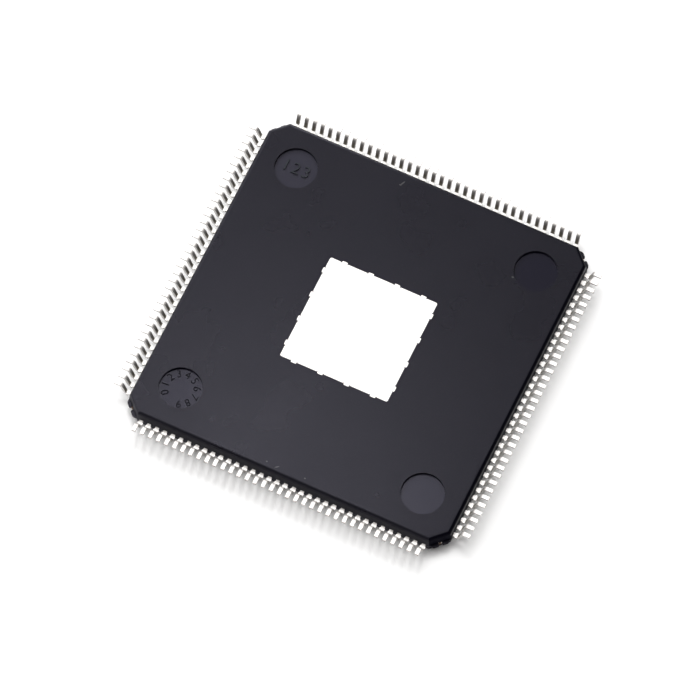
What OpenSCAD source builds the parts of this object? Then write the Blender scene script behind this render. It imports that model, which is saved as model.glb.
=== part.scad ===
// Gate array in a quad flat pack with an exposed pad.
// It lies on its marking face, so the pad and the soles of the leads look up.
// Z is measured from the marking face, and the origin is under the middle of the body.

/* [Leads] */
// Leads along each side, an even number
leads_per_side = 36; // [28:2:44]
// Distance between neighbouring leads
lead_pitch = 0.5; // [0.4:0.01:0.65]
// Width of a lead
lead_w = 0.22; // [0.17:0.01:0.27]
// Thickness of the sheet that the leads and the paddle are stamped from
frame_t = 0.15; // [0.1:0.01:0.18]
// Reach of a lead from the side of the body to its toe
lead_reach = 1; // [0.9:0.05:1.4]
// Shoulder from the side of the body to the corner of the first bend
shoulder = 0.35; // [0.25:0.01:0.4]
// Lean of the rising part away from the vertical, in degrees
rise_lean = 16; // [5:1:25]
// Inner radius of both bends
bend_r = 0.07; // [0.05:0.01:0.12]
// Height of the soles above the pad face
standoff = 0.1; // [0.05:0.01:0.15]
// Reach of what is left of the trimmed dambar on both sides of a lead
bar_reach = 0.045; // [0.02:0.005:0.07]
// Width of the dambar, along the lead
bar_w = 0.12; // [0.08:0.01:0.15]
// Distance from the side of the body to the dambar
bar_inset = 0.12; // [0.08:0.01:0.2]

/* [Bond fingers] */
// Straight run of a lead inside the body before it fans in
inner_straight = 0.4; // [0.2:0.05:0.6]
// Gap from the edge of the paddle to the finger tips
tip_gap = 1.5; // [1.2:0.1:2.2]
// Distance between neighbouring finger tips
tip_pitch = 0.2; // [0.16:0.01:0.22]
// Width of a finger at its tip
tip_w = 0.1; // [0.08:0.01:0.13]
// Width of the tape that locks the leads together
tape_w = 0.8; // [0.5:0.1:1.2]
// Thickness of the tape
tape_t = 0.05; // [0.03:0.01:0.08]
// Distance from the side of the body to the outer edge of the tape
tape_inset = 3; // [2:0.1:3.5]

/* [Moulded body] */
// Distance from the last lead of a row to the side of the body
row_margin = 1.25; // [1.2:0.05:2]
// Thickness of the body
body_h = 1.4; // [1.3:0.05:1.6]
// Height of the parting plane, which is the middle of the leads
parting_h = 0.7; // [0.6:0.05:0.8]
// Draft of the sides, in degrees
draft = 7; // [3:1:12]
// Radius of the long edges of both faces
edge_r = 0.21; // [0.05:0.01:0.3]
// Legs of the corner chamfers at the parting plane
corner_cut = 0.95; // [0.7:0.05:1.05]
// Reach of the resin stubs beyond a corner chamfer
stub_reach = 0.17; // [0.1:0.01:0.25]
// Chamfer on the outer corners of a stub
stub_chamfer = 0.05; // [0.02:0.01:0.08]
// Diameter of the four ejector marks
mark_d = 2.5; // [1.5:0.1:3]
// Depth of the ejector marks
mark_depth = 0.17; // [0.05:0.01:0.25]
// Distance from the middle of an ejector mark to both sides
mark_inset = 2.5; // [2:0.1:3.2]
// Diameter of the pin 1 dimple in the marking face
dimple_d = 1.4; // [1:0.1:2]
// Depth of the pin 1 dimple
dimple_depth = 0.08; // [0.05:0.01:0.12]
// Distance from the middle of the dimple to both sides
dimple_inset = 1.7; // [1.5:0.1:2.5]

/* [Paddle and chip] */
// Width of the square paddle, which is the exposed pad
paddle_w = 6.67; // [6.3:0.01:7.2]
// Radius of the corners of the paddle
paddle_r = 0.1; // [0.05:0.01:0.2]
// Locking tabs along each side of the paddle
tabs_per_side = 4; // [2:1:6]
// Distance from the corner of the paddle to the middle of its first tab
tab_margin = 0.88; // [0.6:0.01:1.2]
// Width of a tab
tab_w = 0.33; // [0.2:0.01:0.5]
// Reach of a tab beyond the paddle
tab_reach = 0.09; // [0.06:0.01:0.25]
// Radius of the outer corners of a tab
tab_r = 0.05; // [0.02:0.01:0.06]
// Width of the relief notches beside a tab
relief_w = 0.06; // [0.04:0.01:0.1]
// Depth of the relief notches
relief_depth = 0.03; // [0.02:0.01:0.06]
// Width of the four tie bars
tie_w = 0.2; // [0.15:0.01:0.3]
// Width of the square chip
die_w = 5.5; // [4:0.1:5.7]
// Thickness of the chip
die_t = 0.28; // [0.2:0.01:0.35]
// Thickness of the adhesive under the chip
attach_t = 0.025; // [0.02:0.005:0.05]
// Spread of the adhesive beyond the chip
attach_spread = 0.1; // [0.05:0.01:0.15]

/* [Bond wires] */
// Thickness of a wire
wire_d = 0.025; // [0.02:0.001:0.035]
// Height of the loops above the bond fingers
loop_h = 0.18; // [0.12:0.01:0.25]
// Height of the ground wires' loops above the chip
ground_loop_h = 0.1; // [0.06:0.01:0.2]
// Level run of a wire from its bond pad before it slopes down
level_run = 0.2; // [0.15:0.01:0.3]
// Length of the stitch on a finger
stitch = 0.06; // [0.04:0.01:0.1]
// Distance from the finger tip to the stitch
stitch_inset = 0.1; // [0.05:0.01:0.2]
// Distance from the edge of the chip to its bond pads
pad_inset = 0.08; // [0.05:0.01:0.12]
// Distance from the corner of the chip to its first bond pad
pad_corner = 0.3; // [0.2:0.05:0.5]
// Ground wires from each side of the chip to the paddle, an even number
grounds_per_side = 4; // [2:2:6]
// Bond pads between neighbouring ground wires
ground_step = 6; // [3:1:6]

/* [Hidden] */
$fn = 48;
// Cutting shapes reach this far past what they cut
over = 1;
banks = 8;
leads_per_bank = leads_per_side / 2;

row = (leads_per_side - 1) * lead_pitch;
body_half = row / 2 + row_margin;
corner_half = (2 * body_half - corner_cut) / sqrt(2);

// Formed lead: its seating plane, the rise of its middle line, and its bends
seat_z = body_h + standoff;
foot_rise = seat_z - frame_t / 2 - parting_h;
bend_mid_r = bend_r + frame_t / 2;
bend_tangent = bend_mid_r * tan((90 - rise_lean) / 2);

// Inside: finger tips and the levels of the stack
tip_half = paddle_w / 2 + tip_gap;
bond_z = parting_h - frame_t / 2;
paddle_z = body_h - frame_t;
attach_z = paddle_z - attach_t;
chip_z = attach_z - die_t;
tape_half = body_half - tape_inset;

// Bond pads on the chip, and where the ground wires land on the paddle
pad_pitch = (die_w - 2 * pad_corner) / (leads_per_side - 1);
pad_y = die_w / 2 - pad_inset;
ground_land = (paddle_w - die_w - attach_spread) / 4 + attach_spread / 2;

// Place of lead i in a row with the given pitch, measured from the middle of the row
function in_row(i, pitch) = (i - (leads_per_side - 1) / 2) * pitch;

// The first and last lead of a bank, where every side has two banks
function bank_first(bank) = (bank % 2) * leads_per_bank;
function bank_leads(bank) = [bank_first(bank) : bank_first(bank) + leads_per_bank - 1];
function bank_turn(bank) = 90 * floor(bank / 2);

// Everything under a surface along the formed leads, at the given height above their middle
module under_leads(above, reach) {
    low_mid = [shoulder - bend_tangent, bend_mid_r];
    high_mid = [shoulder + foot_rise * tan(rise_lean) + bend_tangent, foot_rise - bend_mid_r];
    low_r = bend_mid_r - above;
    high_r = bend_mid_r + above;
    inner_end = tip_half - body_half - reach;
    toe_end = lead_reach + reach;
    base = -frame_t / 2 - reach;
    width = 2 * (body_half + reach);
    difference() {
        union() {
            linear_extrude(width, center = true)
                polygon([
                    [inner_end, base],
                    [inner_end, above],
                    low_mid + low_r * [0, -1],
                    low_mid + low_r * [cos(rise_lean), -sin(rise_lean)],
                    high_mid + high_r * [-cos(rise_lean), sin(rise_lean)],
                    high_mid + high_r * [0, 1],
                    [toe_end, foot_rise + above],
                    [toe_end, base]
                ]);
            translate(high_mid)
                cylinder(r = high_r, h = width, center = true);
        }
        translate(low_mid)
            cylinder(r = low_r, h = width + over, center = true);
    }
}

// Strip formed to a gull wing: shoulder, bend, rise, bend and foot, with X out from the body and Y up
module formed_strip() {
    difference() {
        under_leads(frame_t / 2, 0);
        under_leads(-frame_t / 2, over);
    }
}

// Stamped outline of lead i, from beyond its toe to its finger tip, with the trimmed dambar on its shoulder
module lead_outline(i) {
    x = in_row(i, lead_pitch);
    x_tip = in_row(i, tip_pitch);
    fan = body_half - inner_straight;
    past_toe = body_half + lead_reach + over;
    polygon([
        [x - lead_w / 2, past_toe],
        [x - lead_w / 2, fan],
        [x_tip - tip_w / 2, tip_half],
        [x_tip + tip_w / 2, tip_half],
        [x + lead_w / 2, fan],
        [x + lead_w / 2, past_toe]
    ]);
    translate([x, body_half + bar_inset + bar_w / 2])
        square([lead_w + 2 * bar_reach, bar_w], center = true);
}

// The leads of a bank are stamped outlines of one formed strip
module leads(bank) {
    color("gainsboro")
        rotate(bank_turn(bank))
            intersection() {
                translate([0, body_half, parting_h])
                    rotate([90, 0, 90])
                        formed_strip();
                linear_extrude(seat_z + over)
                    for (i = bank_leads(bank))
                        lead_outline(i);
            }
}

// Wire from a bond pad at the origin along X, from level start to level land, with its top at level top
// As a cutting shape, its ends go on past those levels
module wire(length, start, land, top, past) {
    rotate([90, 0, 0])
        linear_extrude(wire_d, center = true)
            polygon([
                [0, start + past],
                [0, top],
                [level_run, top],
                [length + stitch, land - wire_d / 2],
                [length + stitch, land + past],
                [length, land + past],
                if (past > 0) [length, land],
                [level_run - wire_d / 2, top + wire_d],
                [wire_d, top + wire_d],
                [wire_d, start + past]
            ]);
}

module bond_wires(bank, past = 0) {
    color("gold")
        rotate(bank_turn(bank))
            for (i = bank_leads(bank)) {
                pad = [in_row(i, pad_pitch), pad_y];
                span = [in_row(i, tip_pitch), tip_half + stitch_inset] - pad;
                translate(pad)
                    rotate(atan2(span.y, span.x))
                        wire(norm(span), chip_z, bond_z, bond_z - loop_h, past);
            }
}

// Ground wires leave the chip midway between its bond pads
module ground_wires(past = 0) {
    first = -ground_step * (grounds_per_side - 1) / 2;
    color("gold")
        for (side = [0 : 3])
            rotate(90 * side)
                for (g = [0 : grounds_per_side - 1])
                    translate([(first + g * ground_step) * pad_pitch, pad_y])
                        rotate(90)
                            wire(pad_inset + ground_land, chip_z, paddle_z, chip_z - ground_loop_h, past);
}

// Tie bar along X from a corner of the paddle, stepped down at 45 degrees to the plane of the leads
module tie_bar() {
    start = (paddle_w / 2 - paddle_r) * sqrt(2);
    drop = paddle_z + frame_t / 2 - parting_h;
    miter = frame_t / 2 * tan(45 / 2);
    down = start - miter;
    end = corner_half + stub_chamfer;
    rotate([90, 0, 0])
        linear_extrude(tie_w, center = true)
            polygon([
                [start - frame_t, body_h],
                [down + miter, body_h],
                [down + drop + miter, parting_h + frame_t / 2],
                [end, parting_h + frame_t / 2],
                [end, parting_h - frame_t / 2],
                [down + drop - miter, parting_h - frame_t / 2],
                [down - miter, paddle_z],
                [start - frame_t, paddle_z]
            ]);
}

// Puts a shape at every tab, with its origin on the side of the paddle and Y outward
module at_tabs() {
    tab_pitch = (paddle_w - 2 * tab_margin) / (tabs_per_side - 1);
    for (side = [0 : 3], tab = [0 : tabs_per_side - 1])
        rotate(90 * side)
            translate([tab_margin - paddle_w / 2 + tab * tab_pitch, paddle_w / 2])
                children();
}

module tab_outline() {
    core = tab_w - 2 * tab_r;
    translate([-tab_w / 2, -2 * relief_depth])
        square([tab_w, 2 * relief_depth + tab_reach - tab_r]);
    translate([-core / 2, 0])
        square([core, tab_reach]);
    for (side = [-1, 1])
        translate([side * core / 2, tab_reach - tab_r])
            circle(tab_r);
}

module paddle_outline() {
    flat = paddle_w - 2 * paddle_r;
    difference() {
        union() {
            square([flat, paddle_w], center = true);
            square([paddle_w, flat], center = true);
            for (x = [-1, 1], y = [-1, 1])
                translate([x, y] * flat / 2)
                    circle(paddle_r);
        }
        at_tabs()
            square([tab_w + 2 * relief_w, 2 * relief_depth], center = true);
    }
    at_tabs()
        tab_outline();
}

// Paddle with its locking tabs and tie bars, one stamping
module die_paddle() {
    color("whitesmoke") {
        translate([0, 0, paddle_z])
            linear_extrude(frame_t)
                paddle_outline();
        for (corner = [0 : 3])
            rotate(45 + 90 * corner)
                tie_bar();
    }
}

module die_attach() {
    color("silver")
        translate([0, 0, attach_z])
            linear_extrude(attach_t)
                square(die_w + 2 * attach_spread, center = true);
}

module silicon_die() {
    color("slategray")
        translate([0, 0, chip_z])
            linear_extrude(die_t)
                square(die_w, center = true);
}

// Square ring of tape across the bond fingers and the tie bars
module lead_tape() {
    color("peru")
        translate([0, 0, bond_z - tape_t])
            linear_extrude(tape_t)
                difference() {
                    square(2 * tape_half, center = true);
                    square(2 * (tape_half - tape_w), center = true);
                }
}

// Section of the body across two opposite sides that lie half apart at the parting plane
module body_section(half) {
    top_x = half - (body_h - parting_h - edge_r) * tan(draft) - edge_r / cos(draft);
    low_x = half - (parting_h - edge_r) * tan(draft) - edge_r / cos(draft);
    top_z = body_h - edge_r;
    tangent = edge_r * [cos(draft), sin(draft)];
    right = [
        [low_x, 0],
        [low_x + tangent.x, edge_r - tangent.y],
        [half, parting_h],
        [top_x + tangent.x, top_z + tangent.y],
        [top_x, body_h]
    ];
    for (side = [0, 1])
        mirror([side, 0]) {
            polygon(concat([[0, 0]], right, [[0, body_h]]));
            translate([low_x, edge_r])
                circle(edge_r);
            translate([top_x, top_z])
                circle(edge_r);
        }
}

// Four pairs of drafted sides: two square to the leads and two across the corners
module drafted_block() {
    intersection_for (turn = [0, 45, 90, 135])
        rotate([90, 0, turn])
            linear_extrude(4 * body_half, center = true)
                body_section(turn % 90 == 0 ? body_half : corner_half);
}

// Pair of resin stubs left beyond a corner chamfer, with the cut tie bar in the notch between them
module corner_stubs() {
    half_l = corner_cut / sqrt(2) - stub_reach - stub_chamfer;
    end = corner_half + stub_reach;
    translate([0, 0, parting_h - frame_t / 2])
        linear_extrude(frame_t)
            for (side = [0, 1])
                mirror([0, side])
                    polygon([
                        [corner_half - corner_cut / 2, tie_w / 2],
                        [end - stub_chamfer, tie_w / 2],
                        [end, tie_w / 2 + stub_chamfer],
                        [end, half_l - stub_chamfer],
                        [end - stub_chamfer, half_l + stub_chamfer],
                        [corner_half, half_l + stub_reach],
                        [corner_half - corner_cut / 2, half_l + stub_reach]
                    ]);
}

module resin() {
    drafted_block();
    for (corner = [0 : 3])
        rotate(45 + 90 * corner)
            corner_stubs();
}

module mould_marks() {
    mark_at = body_half - mark_inset;
    dimple_at = body_half - dimple_inset;
    for (x = [-1, 1], y = [-1, 1])
        translate([x * mark_at, y * mark_at, body_h - mark_depth])
            cylinder(d = mark_d, h = over);
    translate([-dimple_at, dimple_at, dimple_depth - over])
        cylinder(d = dimple_d, h = over);
}

// Everything that the resin was moulded around
module inserts() {
    die_paddle();
    die_attach();
    silicon_die();
    lead_tape();
    ground_wires(wire_d);
    for (bank = [0 : banks - 1]) {
        leads(bank);
        bond_wires(bank, wire_d);
    }
}

module mould_body() {
    color([0.2, 0.2, 0.22])
        difference() {
            resin();
            mould_marks();
            inserts();
        }
}

mould_body();
die_paddle();
die_attach();
silicon_die();
lead_tape();
for (bank = [0 : banks - 1]) {
    leads(bank);
    bond_wires(bank);
}
ground_wires();
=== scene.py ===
"""Looks of a quad flat pack that lies pad up: finishes, moulded numbers, floor, lights and camera."""
import math

import bmesh
import bpy
from mathutils import Matrix, Vector


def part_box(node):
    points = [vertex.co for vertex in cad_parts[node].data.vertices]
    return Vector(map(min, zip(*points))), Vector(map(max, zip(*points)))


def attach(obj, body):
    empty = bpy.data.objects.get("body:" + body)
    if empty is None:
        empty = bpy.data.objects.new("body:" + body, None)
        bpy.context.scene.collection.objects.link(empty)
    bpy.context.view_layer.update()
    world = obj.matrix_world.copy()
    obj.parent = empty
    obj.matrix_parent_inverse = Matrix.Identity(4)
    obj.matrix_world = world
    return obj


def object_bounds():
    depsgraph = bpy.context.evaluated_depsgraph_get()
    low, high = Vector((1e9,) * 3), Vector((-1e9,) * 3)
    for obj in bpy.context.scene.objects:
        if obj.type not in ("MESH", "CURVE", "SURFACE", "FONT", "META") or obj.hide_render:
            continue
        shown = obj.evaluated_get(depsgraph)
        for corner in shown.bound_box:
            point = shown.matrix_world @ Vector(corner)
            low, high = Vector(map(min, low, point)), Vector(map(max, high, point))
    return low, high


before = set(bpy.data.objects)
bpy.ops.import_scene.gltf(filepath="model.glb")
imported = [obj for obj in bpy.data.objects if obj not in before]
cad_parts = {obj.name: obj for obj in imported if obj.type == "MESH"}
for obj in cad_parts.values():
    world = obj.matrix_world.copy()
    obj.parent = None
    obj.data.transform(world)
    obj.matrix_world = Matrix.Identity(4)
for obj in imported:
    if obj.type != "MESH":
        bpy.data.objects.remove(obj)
cad_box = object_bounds()

# One millimetre in metres: the values below are in millimetres and degrees
MM = 0.001

# Places on the part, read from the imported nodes
BODY_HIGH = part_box("mould_body")[1] / MM
FACE_Z = BODY_HIGH.z
SOLE_Z = cad_box[1].z / MM
TOE_REACH = cad_box[1].x / MM
# Sum of x and y at the corner of the box that the tie bars span
TIE_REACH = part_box("die_paddle")[1].x / MM * 2

# The leads: upper side of their shoulders, pitch and width
SHOULDER_Z = 0.775
LEAD_PITCH = 0.5
LEAD_W = 0.22

# The round ejector marks in the face: distance from the body's side, diameter, depth and soft edge
MARK_INSET = 2.5
MARK_D = 2.5
MARK_DEPTH = 0.17
MARK_BLEND = 0.02
MARK_OFFSET = BODY_HIGH.x - MARK_INSET
MARK_FLOOR_Z = FACE_Z - MARK_DEPTH

# Most of a noise lies between these two values
NOISE_LOW = 0.3
NOISE_HIGH = 0.7

# The epoxy: refraction, clouds, grain, tint of its gloss, and the floors of the marks, two of them paler
EPOXY_IOR = 1.5
EPOXY_CLOUDS = ((0.0036, 0.0035, 0.0086, 1), (0.0050, 0.0048, 0.0105, 1))
EPOXY_GRAIN = (0.013, 0.0125, 0.017, 1)
EPOXY_SHEEN = (0.86, 0.84, 1.0, 1)
DARK_FLOOR = (0.0070, 0.0065, 0.019, 1)
PALE_FLOOR = (0.043, 0.042, 0.062, 1)
# Width of the clouds and of the grain, where the grain starts to show and shows most, and its largest share
CLOUD_SIZE = 3.0
GRAIN_SIZE = 0.06
GRAIN_SHOWN = (0.52, 0.72)
GRAIN_SHARE = 0.5
# Height of the grain on the face and on the floors of the marks
FACE_RELIEF = 0.0012
FLOOR_RELIEF = 0.0006
# Roughness of the face, what the floors take off it, and what sides that face along X and along Y add
FACE_ROUGH = (0.27, 0.29)
FLOOR_POLISH = 0.05
SIDE_COARSE = (0.06, 0.3)
# Specular level of the face and of the sides, and the share of it kept where shade is painted as lost gloss
# on sides that face +X
FACE_GLOSS = 0.5
SIDE_GLOSS = 0.28
SHADED_GLOSS_SHARE = 0.08
# Part of the normal along Z, up or down, where a side starts and is full
SIDE_FACING = (0.75, 0.25)
# Part of the normal along +X where the painted shade starts and is full
RIGHT_FACING = (0.05, 0.35)
# The same part on a square side, which takes the painted shade by height alone, and on an edge or a corner
SQUARE_FACING = (0.95, 0.8)
# Heights where the painted shade of a square side, by the leads, starts and is full, and its share above
# them
GLOSS_SHADE_Z = (SHOULDER_Z + 0.4, SHOULDER_Z + 0.25)
UPPER_GLOSS_SHADE = 0.3

# Wear on the face: x, y, length, width and turn of each scratch or speck
LIGHT_WEAR = [
    (-1.62, 9.23, 0.34, 0.08, 65),
    (-1.70, 9.08, 0.14, 0.07, 0),
    (-0.54, -9.53, 0.27, 0.07, 40),
    (1.17, -9.49, 0.10, 0.08, 0),
    (-1.20, -9.47, 0.10, 0.08, 0),
    (6.48, 6.61, 0.14, 0.10, 0),
]
DARK_WEAR = [
    (-0.92, 9.49, 0.11, 0.10, 0),
    (8.88, 7.20, 0.14, 0.12, 0),
]
LIGHT_WEAR_TONE = 0.11
DARK_WEAR_TONE = 0.004
# Share of such a spot's length and width that is full in its middle, and as much that is bare at its rim
WEAR_EDGE = 0.35

# Matte tin: tone and warmth of its darker and its paler clouds
TIN = 0.62
TIN_CLOUDS = ((TIN * 0.97, 0.035), (TIN, 0.025))
TIN_METALLIC = 0.75
TIN_ROUGH = (0.50, 0.56)
TIN_RELIEF = 0.0012
# Width of its clouds, of its grain and of the smears at its cut ends
TIN_CLOUD_SIZE = 0.6
TIN_GRAIN_SIZE = 0.035
SMEAR_SIZE = 0.12
# Copper at the cut ends: tarnished on the tie bars, smeared over with tin on the toes
TARNISHED = (0.10, 0.06, 0.04, 1)
SMEARED = (0.62, 0.58, 0.55, 1)
# Values of the smears' noise where the copper starts to show and shows in full, and how much rougher it is
SMEAR_SHOWN = (0.3, 0.5)
COPPER_ROUGHER = 0.2
# Distance in from the reach of the cut ends where the copper starts and is full
TOE_CUT = (0.02, 0.005)
TIE_CUT = (0.4, 0.3)
# Painted shade, a brown darkening, on the rising parts of the leads, and the heights where it starts, is
# full, fades and is gone
RISER_SHADE_TONE = (0.24, 0.22, 0.18, 1)
RISER_SHADE_Z = (SHOULDER_Z - 0.005, SHOULDER_Z + 0.02, SHOULDER_Z + 0.2, SOLE_Z - 0.03)

# The silver-filled adhesive: tones, warmth, width and height of its flakes, and roughness
PASTE_TONES = (0.28, 0.55)
PASTE_WARMTH = 0.02
PASTE_METALLIC = 0.6
FLAKE_SIZE = 0.02
FLAKE_RELIEF = 0.002
PASTE_ROUGH = (0.45, 0.65)

# The chip: pitch of its logic blocks and the lines between them, tones of both, and width of its clouds
BLOCK_PITCH = 0.16
BLOCK_LINE = 0.012
CHIP_CLOUDS = ((0.16, 0.17, 0.22, 1), (0.22, 0.20, 0.21, 1))
LINE_TONE = (0.42, 0.38, 0.32, 1)
CHIP_CLOUD_SIZE = 0.8
CHIP_METALLIC = 0.85
CHIP_ROUGH = (0.12, 0.2)

# The polyimide tape
TAPE_CLOUDS = ((0.38, 0.13, 0.015, 1), (0.52, 0.20, 0.03, 1))
TAPE_CLOUD_SIZE = 0.7
TAPE_IOR = 1.65
TAPE_ROUGH = (0.25, 0.4)

# The gold wire, with the width of its drawing marks
GOLD_TONES = ((0.80, 0.52, 0.17, 1), (0.92, 0.64, 0.26, 1))
DRAWN_SIZE = 0.02
GOLD_ROUGH = (0.18, 0.28)

# The raised numbers on the floors of two marks: depth of their seat, spacing, and thinning of their strokes
NUMBER_SEAT = 0.005
NUMBER_SPACING = 1.2
STROKE_OFFSET = -0.008
# Height of a digit as a share of its font's size, steps of a curve, and distance at which points are joined
DIGIT_SHARE = 0.7
CURVE_STEPS = 4
POINT_MERGE = 1e-5
# A ring of digits with a gap, and a row of three
RING_DIGITS = "0123456789"
RING_RADIUS = 0.9
RING_HEIGHT = 0.45
RING_RISE = 0.03
RING_START = 128.0
RING_STEP = -32.2
ROW_DIGITS = "123"
ROW_HEIGHT = 0.72
ROW_RISE = 0.08
# Their epoxy: tones, the share by which these vary, and warmth
RING_TONE = 0.005
ROW_TONE = PALE_FLOOR[0]
NUMBER_VARIES = 0.2
NUMBER_WARMTH = -0.15
# Its least roughness and the range above that, and width and height of its grain
RING_ROUGH = 0.75
ROW_ROUGH = 0.22
NUMBER_ROUGHER = 0.05
NUMBER_GRAIN_SIZE = 0.03
NUMBER_RELIEF = 0.003

# The floor and the world's light
FLOOR_SPAN = 3000.0
FLOOR_DROP = 0.01
FLOOR_TONES = (0.90, 0.92)
FLOOR_CLOUD_SIZE = 40.0
FLOOR_ROUGH = 0.9
WORLD_LIGHT = 0.135
WORLD_TINT = (1.0, 0.95, 0.92, 1)

# Lights: azimuth, elevation, distance, width, height and power in watts
LIGHTS = {
    "key": (200, 70, 500, 360, 180, 0.46),
    "beam": (205, 70, 500, 30, 190, 0.33),
    "overhead": (180, 85, 500, 700, 700, 1.92),
    "side": (270, 45, 600, 800, 800, 2.0),
    "sheen": (217, 72, 130, 14, 14, 0.0048),
    "panel": (206, 66, 500, 400, 400, 0.075),
    "rim": (206, 28, 80, 30, 30, 0.015),
}
# Those that are kept off the black epoxy
FLAGGED = ("key", "beam", "overhead")

# The view in the photograph, and the nearest and the farthest that the camera sees
VIEW_AZIMUTH = 25.864
VIEW_ELEVATION = 66.572
VIEW_ROLL = -0.52
VIEW_DISTANCE = 450.9
VIEW_AIM = Vector((-0.168, -0.812, 0.0))
VIEW_LENS = 411.2
VIEW_SENSOR = 36.0
VIEW_NEAREST = VIEW_DISTANCE / 100
VIEW_FARTHEST = VIEW_DISTANCE * 20


class Finish:
    """A Principled material fed by procedural nodes that work in millimetres of the part's frame."""

    def __init__(self, name, **sockets):
        self.material = bpy.data.materials.new(name)
        self.material.use_nodes = True
        self.tree = self.material.node_tree
        self.shader = self.tree.nodes["Principled BSDF"]
        for socket, value in sockets.items():
            self.feed(socket.replace("_", " "), value)
        metres = self.node("TexCoord").outputs["Object"]
        self.place = self.node("VectorMath", {0: metres, "Scale": 1 / MM}, operation="SCALE").outputs[0]
        axes = self.node("SeparateXYZ", {0: self.place})
        self.x, self.y, self.z = axes.outputs

    def node(self, kind, inputs=(), **settings):
        """A new node of that kind, with its settings and with its inputs set or linked."""
        made = self.tree.nodes.new("ShaderNode" + kind)
        for setting, value in settings.items():
            setattr(made, setting, value)
        for socket, value in dict(inputs).items():
            self.join(made.inputs[socket], value)
        return made

    def join(self, socket, value):
        """Links an output to the socket, or sets the socket to a plain value."""
        if isinstance(value, bpy.types.NodeSocket):
            self.tree.links.new(value, socket)
        else:
            socket.default_value = value

    def feed(self, socket, value):
        """Feeds one of the shader's own sockets."""
        self.join(self.shader.inputs[socket], value)

    def math(self, operation, *values):
        """The result of one operation on one or two values."""
        return self.node("Math", dict(enumerate(values)), operation=operation).outputs[0]

    def noise(self, size, detail=2.0):
        """Noise from 0 to 1 whose blotches are about that wide."""
        inputs = {"Vector": self.place, "Scale": 1 / size, "Detail": detail}
        return self.node("TexNoise", inputs).outputs[0]

    def ramp(self, value, low, high, out_low=0.0, out_high=1.0):
        """A smooth step from out_low, where value is low, to out_high, where it is high."""
        inputs = {0: value, 1: low, 2: high, 3: out_low, 4: out_high}
        return self.node("MapRange", inputs, interpolation_type="SMOOTHSTEP").outputs[0]

    def vary(self, noise, low, high):
        """A value from low to high that follows a noise."""
        return self.ramp(noise, NOISE_LOW, NOISE_HIGH, low, high)

    def mix(self, share, first, second):
        """A colour between two colours."""
        inputs = {0: share, 6: first, 7: second}
        return self.node("Mix", inputs, data_type="RGBA").outputs[2]

    def blot(self, x, y, length, width, turn):
        """A mask that is 1 inside one small ellipse on the face."""
        settings = {
            "Vector": self.place,
            "Location": (x, y, FACE_Z),
            "Rotation": (0, 0, math.radians(turn)),
            "Scale": (length, width, width),
        }
        inside = self.node("Mapping", settings, vector_type="TEXTURE").outputs[0]
        fade = self.node("TexGradient", {0: inside}, gradient_type="SPHERICAL").outputs[1]
        return self.ramp(fade, WEAR_EDGE, 1 - WEAR_EDGE)

    def bump(self, noise, height):
        """Roughens the surface by a noise times a height in millimetres."""
        inputs = {"Height": self.math("MULTIPLY", noise, height), "Distance": MM, "Strength": 1.0}
        self.feed("Normal", self.node("Bump", inputs).outputs[0])


def grey(value, warmth=0.0):
    """A linear colour of that value, with its red raised and its blue lowered by a share of it."""
    return (value * (1 + warmth), value, value * (1 - warmth), 1.0)


def mark_floors(epoxy):
    """1 on the floors of the ejector marks."""
    across = epoxy.math("SUBTRACT", epoxy.math("ABSOLUTE", epoxy.x), MARK_OFFSET)
    along = epoxy.math("SUBTRACT", epoxy.math("ABSOLUTE", epoxy.y), MARK_OFFSET)
    squares = epoxy.math("ADD", epoxy.math("POWER", across, 2.0), epoxy.math("POWER", along, 2.0))
    in_ring = epoxy.ramp(epoxy.math("SQRT", squares), MARK_D / 2 + MARK_BLEND, MARK_D / 2 - MARK_BLEND)
    off_level = epoxy.math("ABSOLUTE", epoxy.math("SUBTRACT", epoxy.z, MARK_FLOOR_Z))
    return epoxy.math("MULTIPLY", in_ring, epoxy.ramp(off_level, MARK_BLEND, MARK_BLEND / 2))


def epoxy_colour(epoxy, clouds, grain, floors):
    """Black with a little grain, the floors of the marks, two of them paler, and the wear."""
    colour = epoxy.mix(clouds, *EPOXY_CLOUDS)
    colour = epoxy.mix(epoxy.ramp(grain, *GRAIN_SHOWN, 0.0, GRAIN_SHARE), colour, EPOXY_GRAIN)
    paler = epoxy.math("LESS_THAN", epoxy.math("MULTIPLY", epoxy.x, epoxy.y), 0.0)
    colour = epoxy.mix(floors, colour, epoxy.mix(paler, DARK_FLOOR, PALE_FLOOR))
    for wear, tone in ((LIGHT_WEAR, LIGHT_WEAR_TONE), (DARK_WEAR, DARK_WEAR_TONE)):
        for place in wear:
            colour = epoxy.mix(epoxy.blot(*place), colour, grey(tone))
    return colour


def gloss_shade_mask(epoxy, facing_x):
    """Where shade is painted as lost gloss: 1 on edges, corners and lower sides that face +X, and less on
    the upper sides that do.
    """
    by_leads = epoxy.ramp(epoxy.z, *GLOSS_SHADE_Z, UPPER_GLOSS_SHADE, 1.0)
    full = epoxy.math("MAXIMUM", epoxy.ramp(facing_x, *SQUARE_FACING), by_leads)
    return epoxy.math("MULTIPLY", epoxy.ramp(facing_x, *RIGHT_FACING), full)


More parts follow.
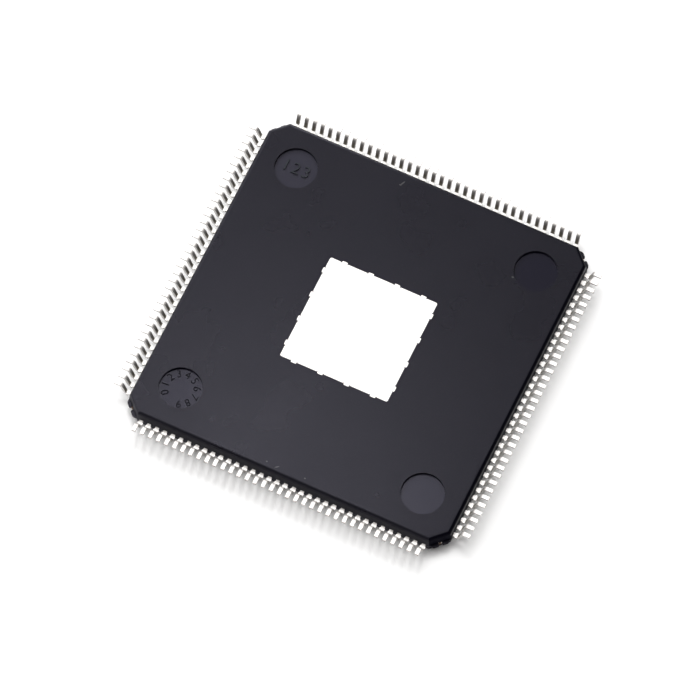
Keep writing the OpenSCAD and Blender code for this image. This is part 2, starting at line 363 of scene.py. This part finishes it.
def mould_compound():
    """Black moulding epoxy: a finely eroded face, smoother floors in the marks, duller sides, and shade
    painted as less gloss on sides that face +X.
    """
    epoxy = Finish("mould_compound", IOR=EPOXY_IOR, Specular_Tint=EPOXY_SHEEN)
    clouds = epoxy.noise(CLOUD_SIZE)
    grain = epoxy.noise(GRAIN_SIZE, detail=3.0)
    floors = mark_floors(epoxy)
    epoxy.feed("Base Color", epoxy_colour(epoxy, clouds, grain, floors))
    facing = epoxy.node("SeparateXYZ", {0: epoxy.node("NewGeometry").outputs["Normal"]}).outputs
    on_side = epoxy.ramp(epoxy.math("ABSOLUTE", facing[2]), *SIDE_FACING)
    coarse = epoxy.ramp(epoxy.math("ABSOLUTE", facing[1]), 0.0, 1.0, *SIDE_COARSE)
    smoother = epoxy.math("MULTIPLY", floors, -FLOOR_POLISH)
    rough = epoxy.math("ADD", epoxy.vary(clouds, *FACE_ROUGH), smoother)
    epoxy.feed("Roughness", epoxy.math("ADD", rough, epoxy.math("MULTIPLY", on_side, coarse)))
    gloss = epoxy.ramp(on_side, 0.0, 1.0, FACE_GLOSS, SIDE_GLOSS)
    # Painted shade: sides that face +X, and most of all those under the leads, keep only a share of their
    # gloss
    kept = epoxy.ramp(gloss_shade_mask(epoxy, facing[0]), 0.0, 1.0, 1.0, SHADED_GLOSS_SHARE)
    epoxy.feed("Specular IOR Level", epoxy.math("MULTIPLY", gloss, kept))
    epoxy.bump(grain, epoxy.ramp(floors, 0.0, 1.0, FACE_RELIEF, FLOOR_RELIEF))
    return epoxy.material


def moulded_number(name, tone, rough):
    """The same epoxy on raised numbers."""
    epoxy = Finish(name, IOR=EPOXY_IOR, Specular_Tint=EPOXY_SHEEN)
    grain = epoxy.noise(NUMBER_GRAIN_SIZE)
    darker = grey(tone * (1 - NUMBER_VARIES), NUMBER_WARMTH)
    paler = grey(tone * (1 + NUMBER_VARIES), NUMBER_WARMTH)
    epoxy.feed("Base Color", epoxy.mix(grain, darker, paler))
    epoxy.feed("Roughness", epoxy.vary(grain, rough, rough + NUMBER_ROUGHER))
    epoxy.bump(grain, NUMBER_RELIEF)
    return epoxy.material


def plated(name, cut, bare, shade_on_risers=None):
    """Matte tin over copper. bare masks the ends in the colour cut, and the last argument, if given, masks
    where brown shade is painted on the tin.
    """
    plate = Finish(name, Metallic=TIN_METALLIC)
    grain = plate.noise(TIN_GRAIN_SIZE, detail=3.0)
    darker, paler = (grey(*cloud) for cloud in TIN_CLOUDS)
    base = plate.mix(plate.noise(TIN_CLOUD_SIZE), darker, paler)
    if shade_on_risers:
        # Painted shade: the middle of the rising parts of the leads is darkened to a brown
        base = plate.mix(shade_on_risers(plate), base, RISER_SHADE_TONE)
    shown = plate.math("MULTIPLY", bare(plate), plate.ramp(plate.noise(SMEAR_SIZE), *SMEAR_SHOWN))
    plate.feed("Base Color", plate.mix(shown, base, cut))
    rougher = plate.math("MULTIPLY", shown, COPPER_ROUGHER)
    plate.feed("Roughness", plate.math("ADD", plate.vary(grain, *TIN_ROUGH), rougher))
    plate.bump(grain, TIN_RELIEF)
    return plate.material


def toe_ends(plate):
    """1 on the cut faces at the toes of the leads."""
    far = plate.math("MAXIMUM", plate.math("ABSOLUTE", plate.x), plate.math("ABSOLUTE", plate.y))
    return plate.ramp(far, *(TOE_REACH - depth for depth in TOE_CUT))


def tie_ends(plate):
    """1 on the cut ends of the tie bars, at the body's corners."""
    far = plate.math("ADD", plate.math("ABSOLUTE", plate.x), plate.math("ABSOLUTE", plate.y))
    return plate.ramp(far, *(TIE_REACH - depth for depth in TIE_CUT))


def riser_shade_mask(plate):
    """1 where shade is painted: along the middle of the rising parts of the leads, fading from their base
    to the feet.
    """
    start, full, fading, gone = RISER_SHADE_Z
    height = plate.math("MULTIPLY", plate.ramp(plate.z, start, full), plate.ramp(plate.z, gone, fading))
    along = plate.math("MINIMUM", plate.math("ABSOLUTE", plate.x), plate.math("ABSOLUTE", plate.y))
    pitches = plate.math("FRACT", plate.math("DIVIDE", along, LEAD_PITCH))
    aside = plate.math("ABSOLUTE", plate.math("SUBTRACT", pitches, 0.5))
    middle = plate.ramp(aside, LEAD_W / 2 / LEAD_PITCH, LEAD_W / 4 / LEAD_PITCH)
    return plate.math("MULTIPLY", height, middle)


def die_attach():
    """Silver-filled adhesive."""
    paste = Finish("die_attach", Metallic=PASTE_METALLIC)
    flakes = paste.noise(FLAKE_SIZE, detail=3.0)
    darker, paler = (grey(tone, PASTE_WARMTH) for tone in PASTE_TONES)
    paste.feed("Base Color", paste.mix(flakes, darker, paler))
    paste.feed("Roughness", paste.vary(flakes, *PASTE_ROUGH))
    paste.bump(flakes, FLAKE_RELIEF)
    return paste.material


def silicon():
    """A polished chip with its fine grid of logic blocks."""
    chip = Finish("silicon", Metallic=CHIP_METALLIC)
    blocks = {
        "Vector": chip.place,
        "Scale": 1.0,
        "Brick Width": BLOCK_PITCH,
        "Row Height": BLOCK_PITCH,
        "Mortar Size": BLOCK_LINE,
    }
    lines = chip.node("TexBrick", blocks, offset=0.0).outputs["Fac"]
    clouds = chip.noise(CHIP_CLOUD_SIZE)
    chip.feed("Base Color", chip.mix(lines, chip.mix(clouds, *CHIP_CLOUDS), LINE_TONE))
    chip.feed("Roughness", chip.vary(clouds, *CHIP_ROUGH))
    return chip.material


def polyimide_tape():
    """Amber polyimide film."""
    tape = Finish("polyimide_tape", IOR=TAPE_IOR)
    clouds = tape.noise(TAPE_CLOUD_SIZE)
    tape.feed("Base Color", tape.mix(clouds, *TAPE_CLOUDS))
    tape.feed("Roughness", tape.vary(clouds, *TAPE_ROUGH))
    return tape.material


def gold_wire():
    """Drawn gold wire."""
    wire = Finish("gold_wire", Metallic=1.0)
    drawn = wire.noise(DRAWN_SIZE)
    wire.feed("Base Color", wire.mix(drawn, *GOLD_TONES))
    wire.feed("Roughness", wire.vary(drawn, *GOLD_ROUGH))
    return wire.material


def dress_nodes():
    """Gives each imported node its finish."""
    finishes = {
        "mould_body": mould_compound(),
        "die_paddle": plated("pad_plate", TARNISHED, tie_ends),
        "die_attach": die_attach(),
        "silicon_die": silicon(),
        "lead_tape": polyimide_tape(),
        "leads_bank": plated("lead_plate", SMEARED, toe_ends, riser_shade_mask),
        "bond_wires_bank": gold_wire(),
    }
    finishes["ground_wires"] = finishes["bond_wires_bank"]
    for name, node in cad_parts.items():
        kind = name.rstrip("0123456789").rstrip("_")
        node.data.materials.clear()
        node.data.materials.append(finishes[kind])


def number_mesh(digits, height, rise):
    """A closed mesh of some digits, centred on the origin, that stands on z 0."""
    curve = bpy.data.curves.new("digits", "FONT")
    curve.body = digits
    curve.align_x = "CENTER"
    curve.align_y = "CENTER"
    curve.size = height / DIGIT_SHARE
    curve.space_character = NUMBER_SPACING
    curve.offset = STROKE_OFFSET
    curve.extrude = (rise + NUMBER_SEAT) / 2
    curve.resolution_u = CURVE_STEPS
    holder = bpy.data.objects.new("digits", curve)
    bpy.context.collection.objects.link(holder)
    bpy.context.view_layer.update()
    solid = holder.evaluated_get(bpy.context.evaluated_depsgraph_get())
    mesh = bpy.data.meshes.new_from_object(solid)
    bpy.data.objects.remove(holder)
    mesh.transform(Matrix.Translation((0, 0, curve.extrude)))
    return mesh


def raised_numbers(name, centre, height, rise, words, finish):
    """Words of digits on the floor of a mark, as one piece. Each comes with its place."""
    shape = bmesh.new()
    for digits, place in words:
        mesh = number_mesh(digits, height, rise)
        mesh.transform(place)
        shape.from_mesh(mesh)
        bpy.data.meshes.remove(mesh)
    bmesh.ops.remove_doubles(shape, verts=shape.verts, dist=POINT_MERGE)
    bmesh.ops.recalc_face_normals(shape, faces=shape.faces)
    bmesh.ops.scale(shape, vec=(MM, MM, MM), verts=shape.verts)
    bmesh.ops.translate(shape, vec=Vector(centre) * MM, verts=shape.verts)
    mesh = bpy.data.meshes.new(name)
    shape.to_mesh(mesh)
    shape.free()
    mesh.materials.append(finish)
    piece = bpy.data.objects.new(name, mesh)
    bpy.context.collection.objects.link(piece)
    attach(piece, "root")
    return piece


def mould_numbers():
    """The ring and the row of digits on the two marks that carry raised figures."""
    dark = moulded_number("ring_epoxy", RING_TONE, RING_ROUGH)
    pale = moulded_number("row_epoxy", ROW_TONE, ROW_ROUGH)
    seat = MARK_FLOOR_Z - NUMBER_SEAT
    outward = Matrix.Translation((0, RING_RADIUS, 0))
    ring = []
    for index, digit in enumerate(RING_DIGITS):
        turn = math.radians(RING_START + RING_STEP * index)
        ring.append((digit, Matrix.Rotation(turn, 4, "Z") @ outward))
    row = [(ROW_DIGITS, Matrix.Identity(4))]
    low_left = (-MARK_OFFSET, -MARK_OFFSET, seat)
    far_left = (-MARK_OFFSET, MARK_OFFSET, seat)
    return [
        raised_numbers("ring_numbers", low_left, RING_HEIGHT, RING_RISE, ring, dark),
        raised_numbers("row_numbers", far_left, ROW_HEIGHT, ROW_RISE, row, pale),
    ]


def toward(azimuth, elevation):
    """The direction from the part to something that stands there. Azimuth 0 is on the -Y side."""
    turn = math.radians(azimuth)
    climb = math.radians(elevation)
    return Vector((math.sin(turn) * math.cos(climb), -math.cos(turn) * math.cos(climb), math.sin(climb)))


def set_up(thing, aim, back, distance, roll=0.0):
    """Puts a camera or a light at a distance from aim, facing it."""
    level = Vector((0, 0, 1)).cross(back).normalized()
    axes = Matrix((level, back.cross(level), back)).transposed().to_4x4()
    spot = Matrix.Translation((aim + back * distance) * MM)
    thing.matrix_world = spot @ axes @ Matrix.Rotation(math.radians(roll), 4, "Z")


def softbox(name, shaded):
    """An oval area light that faces the part. The shaded pieces don't get its light."""
    azimuth, elevation, distance, width, height, power = LIGHTS[name]
    light = bpy.data.lights.new(name, "AREA")
    light.shape = "ELLIPSE"
    light.size = width * MM
    light.size_y = height * MM
    light.energy = power
    lamp = bpy.data.objects.new(name, light)
    bpy.context.collection.objects.link(lamp)
    set_up(lamp, Vector((0, 0, 0)), toward(azimuth, elevation), distance)
    if shaded:
        flag = bpy.data.collections.new(name + "_flag")
        for piece in shaded:
            flag.objects.link(piece)
        for entry in flag.collection_objects:
            entry.light_linking.link_state = "EXCLUDE"
        lamp.light_linking.receiver_collection = flag


def floor():
    """A plain white floor just under the part."""
    shape = bmesh.new()
    bmesh.ops.create_grid(shape, x_segments=1, y_segments=1, size=FLOOR_SPAN * MM / 2)
    mesh = bpy.data.meshes.new("floor")
    shape.to_mesh(mesh)
    shape.free()
    paper = Finish("floor_paper", Roughness=FLOOR_ROUGH)
    darker, paler = (grey(tone) for tone in FLOOR_TONES)
    paper.feed("Base Color", paper.mix(paper.noise(FLOOR_CLOUD_SIZE), darker, paler))
    mesh.materials.append(paper.material)
    sheet = bpy.data.objects.new("floor", mesh)
    sheet.location.z = -FLOOR_DROP * MM
    bpy.context.collection.objects.link(sheet)


def studio(numbers):
    """Floor, world and lights."""
    floor()
    world = bpy.data.worlds.new("studio")
    world.use_nodes = True
    background = world.node_tree.nodes["Background"]
    background.inputs["Color"].default_value = WORLD_TINT
    background.inputs["Strength"].default_value = WORLD_LIGHT
    bpy.context.scene.world = world
    bpy.context.scene.view_settings.view_transform = "Standard"
    dark = [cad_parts["mould_body"], *numbers]
    for name in LIGHTS:
        softbox(name, dark if name in FLAGGED else ())


def camera():
    """The photograph's own view."""
    lens = bpy.data.cameras.new("view")
    lens.lens = VIEW_LENS
    lens.sensor_width = VIEW_SENSOR
    lens.clip_start = VIEW_NEAREST * MM
    lens.clip_end = VIEW_FARTHEST * MM
    eye = bpy.data.objects.new("view", lens)
    bpy.context.collection.objects.link(eye)
    set_up(eye, VIEW_AIM, toward(VIEW_AZIMUTH, VIEW_ELEVATION), VIEW_DISTANCE, VIEW_ROLL)
    bpy.context.scene.camera = eye


dress_nodes()
studio(mould_numbers())
camera()

bpy.context.view_layer.update()
